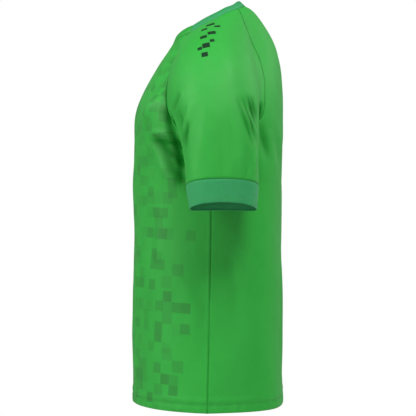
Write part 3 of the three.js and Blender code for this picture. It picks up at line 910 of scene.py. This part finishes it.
def cloth_mesh(name, grid, hollow, closed, thickness):
    """A wall of cloth: the grid outside, the same grid moved in by the thickness, and the rims."""
    shape = Piece(name, grid, closed)
    inner = grid - shape.facings() * thickness
    height, count = grid.shape[:2]
    columns = count if closed else count - 1
    i, j = np.meshgrid(np.arange(height - 1), np.arange(columns), indexing="ij")
    i, j = i.ravel(), j.ravel()
    inside = height * count

    def at(row, column):
        return row * count + column % count

    a, b, c, d = at(i, j), at(i, j + 1), at(i + 1, j + 1), at(i + 1, j)
    outer = np.stack((a, b, c, d), axis=1)
    faces = [outer, inside + outer[:, [0, 3, 2, 1]]]
    across = np.arange(columns)
    for row, (first, second) in ((0, (1, 0)), (height - 1, (0, 1))):
        p, q = at(row, across + first), at(row, across + second)
        faces.append(np.stack((p, q, inside + q, inside + p), axis=1))
    if not closed:
        up = np.arange(height - 1)
        for column, (first, second) in ((0, (0, 1)), (count - 1, (1, 0))):
            p, q = at(up + first, column), at(up + second, column)
            faces.append(np.stack((p, q, inside + q, inside + p), axis=1))
    faces = np.concatenate(faces)
    mesh = mesh_of(name, np.stack((grid, inner)), faces)
    lay_uv(mesh, shape, i, j, faces, count, inside)
    # The painted shade goes on each point, for the materials to darken the colour with
    shade = mesh.attributes.new("hollow", "FLOAT", "POINT")
    shade.data.foreach_set("value", np.tile(hollow.ravel(), 2))
    mesh.shade_smooth()
    return mesh


def film_mesh(name, patches, way):
    """Small closed films, from rows of their upper points and the facing there."""
    size = PRINT_STEPS + 1
    number = np.arange(size * size).reshape(size, size)
    a, b = number[:-1, :-1].ravel(), number[:-1, 1:].ravel()
    c, d = number[1:, 1:].ravel(), number[1:, :-1].ravel()
    rim = np.concatenate((number[0, :-1], number[:-1, -1], number[-1, :0:-1], number[:0:-1, 0]))
    after = np.roll(rim, -1)
    below = size * size
    faces = np.concatenate((
        np.stack((a, b, c, d), axis=1),
        below + np.stack((d, c, b, a), axis=1),
        np.stack((after, rim, below + rim, below + after), axis=1),
    ))
    if way < 0:
        faces = faces[:, ::-1]
    places = [np.stack((upper, upper - 2 * PRINT_THICKNESS * facing)) for upper, facing in patches]
    every = faces[None] + 2 * below * np.arange(len(patches))[:, None, None]
    return mesh_of(name, np.array(places), every.reshape(-1, 4))


def lay_uv(mesh, shape, i, j, faces, count, inside):
    """Lays the cloth's own lengths, in metres, on the mesh: across from the middle, and up."""
    grid = shape.points
    if shape.closed:
        grid = np.concatenate((grid, grid[:, :1]), axis=1)
    flat = Piece(shape.name, grid, False)
    across, up = flat.reach(1), flat.reach(0)
    middle = across[:, grid.shape[1] // 2][:, None]
    uv = np.stack((across - middle, up), axis=-1) * MM
    corner_uv = np.zeros((len(faces), 4, 2))
    quads = len(i)
    steps = ((0, 0), (0, 1), (1, 1), (1, 0))
    for k, (down, right) in enumerate(steps):
        corner_uv[:quads, k] = uv[i + down, j + right]
    corner_uv[quads:2 * quads] = corner_uv[:quads][:, [0, 3, 2, 1]]
    rim = faces[2 * quads:] % inside
    corner_uv[2 * quads:] = uv[rim // count, rim % count]
    layer = mesh.uv_layers.new(name="cloth")
    layer.data.foreach_set("uv", corner_uv.ravel())


class Nodes:
    """A material's node tree, with short calls to add to it."""

    def __init__(self, name):
        self.material = bpy.data.materials.new("jersey_" + name)
        self.material.use_nodes = True
        self.tree = self.material.node_tree
        self.shader = self.tree.nodes["Principled BSDF"]

    def add(self, kind, inputs=(), **settings):
        node = self.tree.nodes.new(kind)
        for key, value in settings.items():
            setattr(node, key, value)
        for key, value in dict(inputs).items():
            self.put(node.inputs[key], value)
        return node

    def put(self, socket, value):
        if isinstance(value, bpy.types.NodeSocket):
            self.tree.links.new(value, socket)
        else:
            socket.default_value = value

    def math(self, operation, a, b=0.0):
        return self.add("ShaderNodeMath", {0: a, 1: b}, operation=operation).outputs[0]

    def scaled(self, value, factor, more):
        inputs = {0: value, 1: factor, 2: more}
        return self.add("ShaderNodeMath", inputs, operation="MULTIPLY_ADD").outputs[0]

    def wave(self, value, pitch):
        """A wave from 0 to 1 along a length in metres."""
        return self.scaled(self.math("SINE", self.math("MULTIPLY", value, 2 * math.pi / pitch)), 0.5, 0.5)

    def mix_colour(self, factor, a, b):
        node = self.add("ShaderNodeMix", data_type="RGBA", clamp_factor=True)
        self.put(node.inputs["Factor"], factor)
        self.put(node.inputs[6], a)
        self.put(node.inputs[7], b)
        return node.outputs[2]

    def shade(self, base, dark, gloss):
        """Sets the colour and the gloss, with shade painted in: both lower at the bottom of creases and
        seams, and on the neckband towards its upper edge.
        """
        hollow = self.add("ShaderNodeAttribute", attribute_name="hollow").outputs["Fac"]
        self.put(self.shader.inputs["Base Color"], self.mix_colour(hollow, base, dark))
        self.put(self.shader.inputs["Specular IOR Level"], self.scaled(hollow, -0.9 * gloss, gloss))

    def cloth_place(self):
        uv = self.add("ShaderNodeUVMap", uv_map="cloth")
        split = self.add("ShaderNodeSeparateXYZ", {0: uv.outputs[0]})
        return uv.outputs[0], split.outputs[0], split.outputs[1]

    def bump(self, height, distance):
        node = self.add("ShaderNodeBump", {"Height": height, "Strength": 1.0, "Distance": distance})
        self.tree.links.new(node.outputs[0], self.shader.inputs["Normal"])

    def finish_with(self, **values):
        for name, value in values.items():
            self.shader.inputs[name.replace("_", " ")].default_value = value


def colour4(colour, scale=1.0):
    return (*(min(1.0, channel * scale) for channel in colour), 1.0)


def knit_height(nodes, across, up, pitch):
    """Small loops of the knit: wales up the cloth and courses across it."""
    wale = nodes.wave(across, pitch)
    half = nodes.math("MULTIPLY", nodes.wave(across, pitch * 2), pitch * 0.5)
    course = nodes.wave(nodes.math("ADD", up, half), pitch * 0.8)
    return nodes.math("MULTIPLY", wale, course)


def body_knit(colours, squares=None):
    """Smooth polyester knit with a slight sheen; on the front with tone-on-tone squares."""
    nodes = Nodes("front_knit" if squares else "body_knit")
    place, across, up = nodes.cloth_place()
    height = knit_height(nodes, across, up, 1.3 * MM)
    mottle = nodes.add("ShaderNodeTexNoise", {"Vector": place, "Scale": 55.0, "Detail": 3.0})
    base = nodes.mix_colour(mottle.outputs[0], colour4(colours.body, 0.94), colour4(colours.body, 1.06))
    if squares:
        base = square_pattern(nodes, place, base, colours, squares)
    base = nodes.mix_colour(nodes.math("MULTIPLY", height, 0.16), base, colour4(colours.squares, 0.6))
    # Painted shade: creases and seams mix towards a dark of the squares' colour and lose gloss
    nodes.shade(base, colour4(colours.squares, 0.8), 0.66)
    nodes.finish_with(
        Roughness=0.65,
        Sheen_Weight=0.04, Sheen_Roughness=0.35, Sheen_Tint=(0.7, 1.0, 0.7, 1.0),
    )
    nodes.bump(height, 0.05 * MM)
    return nodes.material


def square_pattern(nodes, place, base, colours, size):
    """Squares of uneven tone in two grids: dense and faint at the middle of the front, and
    scattered and darker towards the sides."""
    for share, turn, most in GRIDS:
        grid = size * share
        settings = {"Vector": place, "Angle": turn}
        turned = nodes.add("ShaderNodeVectorRotate", settings, rotation_type="Z_AXIS")
        scales = {0: turned.outputs[0], 1: (1 / grid, 1 / grid, 1)}
        cell = nodes.add("ShaderNodeVectorMath", scales, operation="MULTIPLY")
        number = nodes.add("ShaderNodeVectorMath", {0: cell.outputs[0]}, operation="FLOOR")
        draw = nodes.add("ShaderNodeTexWhiteNoise", {"Vector": number.outputs[0]}, noise_dimensions="2D")
        split = nodes.add("ShaderNodeSeparateXYZ", {0: number.outputs[0]})
        aside = nodes.math("MULTIPLY", nodes.math("ABSOLUTE", split.outputs[0]), grid / HALF_FRONT)
        shown = nodes.math("GREATER_THAN", draw.outputs[0], nodes.scaled(aside, 0.33, 0.5))
        shown = nodes.math("MULTIPLY", shown, nodes.math("LESS_THAN", aside, 0.86))
        tone = nodes.add("ShaderNodeSeparateColor", {0: draw.outputs[1]})
        depth = nodes.scaled(aside, 0.6, 0.3)
        depth = nodes.math("MULTIPLY", depth, nodes.scaled(tone.outputs[2], 0.7, 0.3))
        depth = nodes.math("MULTIPLY", nodes.math("MULTIPLY", shown, depth), most)
        base = nodes.mix_colour(depth, base, colour4(colours.squares))
    return base


def band_knit(colours):
    """Fine rib of the cuffs and the neckband, matt."""
    nodes = Nodes("band_knit")
    place, across, up = nodes.cloth_place()
    rib = nodes.wave(across, 2.2 * MM)
    course = nodes.wave(up, 0.9 * MM)
    height = nodes.math("MULTIPLY", rib, nodes.scaled(course, 0.3, 0.7))
    mottle = nodes.add("ShaderNodeTexNoise", {"Vector": place, "Scale": 80.0, "Detail": 2.0})
    base = nodes.mix_colour(mottle.outputs[0], colour4(colours.band, 0.92), colour4(colours.band, 1.08))
    base = nodes.mix_colour(nodes.math("MULTIPLY", rib, 0.2), base, colour4(colours.band, 1.3))
    # Painted shade: creases, seams and the neckband's upper edge mix towards a dark band colour
    nodes.shade(base, colour4(colours.band, 0.45), 0.5)
    nodes.finish_with(
        Roughness=0.7,
        Sheen_Weight=0.05, Sheen_Roughness=0.4, Sheen_Tint=(0.7, 1.0, 0.8, 1.0),
    )
    nodes.bump(height, 0.15 * MM)
    return nodes.material


def grained(name, colour, scale, detail, dark, light):
    """A material whose colour varies with a fine grain, and the grain."""
    nodes = Nodes(name)
    place = nodes.add("ShaderNodeTexCoord").outputs["Object"]
    grain = nodes.add("ShaderNodeTexNoise", {"Vector": place, "Scale": scale, "Detail": detail})
    base = nodes.mix_colour(grain.outputs[0], colour4(colour, dark), colour4(colour, light))
    nodes.put(nodes.shader.inputs["Base Color"], base)
    return nodes, grain.outputs[0]


def thread_finish(colours):
    """Polyester sewing thread: a faint twist in its colour."""
    nodes, _ = grained("thread", colours.thread, 900.0, 1.0, 0.8, 1.3)
    nodes.finish_with(Roughness=0.5, Specular_IOR_Level=0.4, Sheen_Weight=0.2)
    return nodes.material


def print_finish(colours):
    """Thin heat-pressed film that takes up a little of the knit below it."""
    nodes, grain = grained("print", colours.print, 700.0, 2.0, 0.8, 1.5)
    nodes.finish_with(Roughness=0.6, Specular_IOR_Level=0.2)
    nodes.bump(grain, 0.04 * MM)
    return nodes.material


def material_for(slot, scene):
    """The material of a slot of the record, made the first time that it is asked for."""
    colours, sizes = scene.jersey_colours, scene.jersey_sizes
    made = bpy.data.materials.get("jersey_" + slot)
    if made:
        return made
    makers = {
        "front_knit": lambda: body_knit(colours, sizes.square),
        "body_knit": lambda: body_knit(colours),
        "band_knit": lambda: band_knit(colours),
        "thread": lambda: thread_finish(colours),
        "print": lambda: print_finish(colours),
    }
    return makers[slot]()


def place_piece(context, name, mesh, slot, replaces=None):
    """Links a piece, gives it its finish and lets it ride on the jersey's one body."""
    mesh.materials.append(material_for(slot, context.scene))
    piece = bpy.data.objects.new(name, mesh)
    context.scene.collection.objects.link(piece)
    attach(piece, "root")
    if replaces:
        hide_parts(replaces)
    return piece


def make_cloth(context, name, slot, folded_edge=None, folded_depth=0.0, seams=()):
    """Makes one sewn piece of cloth from its node's form."""
    sizes = context.scene.jersey_sizes
    piece = sewn_pieces(sizes.band)[name]
    grid, hollow = cloth_grid(piece, sizes, folded_edge, folded_depth, seams)
    mesh = cloth_mesh(name + "_cloth", grid, hollow, piece.closed, sizes.cloth / MM)
    made = place_piece(context, name + "_cloth", mesh, slot, replaces=name)


class JERSEY_OT_panels(bpy.types.Operator):
    """Makes the front and back panels with their hems"""

    bl_idname = "jersey.panels"
    bl_label = "Front and Back"

    def execute(self, context):
        hem = context.scene.jersey_sizes.hem / MM
        for name, slot in (("front", "front_knit"), ("back", "body_knit")):
            make_cloth(context, name, slot, "bottom", hem, ("sides", "top"))
        return {"FINISHED"}


class JERSEY_OT_sleeves(bpy.types.Operator):
    """Makes the two raglan sleeves"""

    bl_idname = "jersey.sleeves"
    bl_label = "Sleeves"

    def execute(self, context):
        for name in ("sleeve_left", "sleeve_right"):
            make_cloth(context, name, "body_knit", seams=("bottom", "top"))
        return {"FINISHED"}


class JERSEY_OT_cuffs(bpy.types.Operator):
    """Makes the two cuff bands, folded double at their open edge"""

    bl_idname = "jersey.cuffs"
    bl_label = "Cuffs"

    def execute(self, context):
        for name in ("cuff_left", "cuff_right"):
            make_cloth(context, name, "band_knit", "bottom", 38, ("top",))
        return {"FINISHED"}


class JERSEY_OT_neckband(bpy.types.Operator):
    """Makes the neckband, folded double at its upper edge"""

    bl_idname = "jersey.neckband"
    bl_label = "Neckband"

    def execute(self, context):
        depth = context.scene.jersey_sizes.band / MM - 2
        for name, slot in (("collar", "band_knit"), ("collar_front", "body_knit")):
            make_cloth(context, name, slot, "top", depth, ("bottom", "sides"))
        return {"FINISHED"}


class JERSEY_OT_stitches(bpy.types.Operator):
    """Makes the two rows of stitches round the hem and round each cuff"""

    bl_idname = "jersey.stitches"
    bl_label = "Stitches"

    def execute(self, context):
        sizes = context.scene.jersey_sizes
        pieces = sewn_pieces(sizes.band)
        for name, (on, distances) in STITCHES.items():
            lines = [row_above_edge(pieces[piece], distance) for piece in on for distance in distances]
            mesh = stitch_mesh(name, lines, sizes.stitch / MM, sizes.thread / MM)
            place_piece(context, name, mesh, "thread")
        return {"FINISHED"}


class JERSEY_OT_print(bpy.types.Operator):
    """Makes the printed squares on both shoulders"""

    bl_idname = "jersey.print"
    bl_label = "Shoulder Print"

    def execute(self, context):
        pieces = sewn_pieces(context.scene.jersey_sizes.band)
        for name, way in (("left", 1), ("right", -1)):
            piece = pieces["sleeve_" + name]
            patches = [print_patch(piece, way, *row) for row in zip(*PRINT_SQUARES.values())]
            mesh = film_mesh("print_" + name, patches, way)
            place_piece(context, "print_" + name, mesh, "print")
        return {"FINISHED"}


class JERSEY_OT_stage(bpy.types.Operator):
    """Makes the floor, the light and the camera"""

    bl_idname = "jersey.stage"
    bl_label = "Floor, Light and Camera"

    def execute(self, context):
        make_floor(context)
        make_light(context)
        make_camera(context)
        return {"FINISHED"}


def make_floor(context):
    angles = np.linspace(0, 2 * math.pi, FLOOR_SIDES, endpoint=False)
    rim = np.stack((np.cos(angles), np.sin(angles), 0 * angles), axis=1) * FLOOR_RADIUS
    mesh = mesh_of("floor", (rim - (0, 0, FLOOR_DEPTH)) / MM, np.arange(FLOOR_SIDES)[None])
    nodes, _ = grained("floor", (1, 1, 1), 6.0, 2.0, 0.84, 0.88)
    nodes.finish_with(Roughness=0.9, Specular_IOR_Level=0.1)
    mesh.materials.append(nodes.material)
    floor = bpy.data.objects.new("floor", mesh)
    context.scene.collection.objects.link(floor)


def make_light(context):
    for name, place, size, power in LIGHTS:
        lamp = bpy.data.lights.new(name, "AREA")
        lamp.size = size
        lamp.energy = power
        holder = bpy.data.objects.new(name, lamp)
        holder.location = place
        holder.rotation_euler = (Vector(AIM) - Vector(place)).to_track_quat("-Z", "Y").to_euler()
        context.scene.collection.objects.link(holder)
    world = bpy.data.worlds.new("studio")
    world.use_nodes = True
    tree = world.node_tree
    seen = tree.nodes["Background"]
    seen.inputs["Color"].default_value = (1, 1, 1, 1)
    seen.inputs["Strength"].default_value = 1.0
    soft = tree.nodes.new("ShaderNodeBackground")
    soft.inputs["Color"].default_value = (0.96, 0.98, 1, 1)
    soft.inputs["Strength"].default_value = SOFT_LIGHT
    path = tree.nodes.new("ShaderNodeLightPath")
    either = tree.nodes.new("ShaderNodeMixShader")
    tree.links.new(path.outputs["Is Camera Ray"], either.inputs[0])
    tree.links.new(soft.outputs[0], either.inputs[1])
    tree.links.new(seen.outputs[0], either.inputs[2])
    tree.links.new(either.outputs[0], tree.nodes["World Output"].inputs[0])
    context.scene.world = world
    context.scene.view_settings.view_transform = "Standard"


def make_camera(context):
    lens = bpy.data.cameras.new("camera")
    lens.sensor_width = SENSOR
    lens.lens = SENSOR * CAMERA_DISTANCE / PHOTO_WIDTH
    lens.clip_end = 100
    camera = bpy.data.objects.new("camera", lens)
    camera.location = (CAMERA_DISTANCE, 0, CAMERA_HEIGHT)
    camera.rotation_euler = (math.radians(90), 0, math.radians(90))
    context.scene.collection.objects.link(camera)
    context.scene.camera = camera


class JERSEY_PT_sidebar(bpy.types.Panel):
    """Sizes, colours and pieces of the jersey"""

    bl_idname = "JERSEY_PT_sidebar"
    bl_label = "Football Jersey"
    bl_space_type = "VIEW_3D"
    bl_region_type = "UI"
    bl_category = "Jersey"

    def draw(self, context):
        layout = self.layout
        for group in (context.scene.jersey_sizes, context.scene.jersey_colours):
            box = layout.box()
            for name in group.__annotations__:
                box.prop(group, name)
        for operator in OPERATORS:
            layout.operator(operator.bl_idname)


OPERATORS = (
    JERSEY_OT_panels,
    JERSEY_OT_sleeves,
    JERSEY_OT_cuffs,
    JERSEY_OT_neckband,
    JERSEY_OT_stitches,
    JERSEY_OT_print,
    JERSEY_OT_stage,
)
CLASSES = (JerseySizes, JerseyColours, *OPERATORS, JERSEY_PT_sidebar)


def register():
    for cls in CLASSES:
        bpy.utils.register_class(cls)
    bpy.types.Scene.jersey_sizes = PointerProperty(type=JerseySizes)
    bpy.types.Scene.jersey_colours = PointerProperty(type=JerseyColours)


def unregister():
    del bpy.types.Scene.jersey_colours
    del bpy.types.Scene.jersey_sizes
    for cls in reversed(CLASSES):
        bpy.utils.unregister_class(cls)


def main():
    register()
    bpy.ops.jersey.panels()
    bpy.ops.jersey.sleeves()
    bpy.ops.jersey.cuffs()
    bpy.ops.jersey.neckband()
    bpy.ops.jersey.stitches()
    bpy.ops.jersey.print()
    bpy.ops.jersey.stage()


if __name__ == "__main__":
    main()
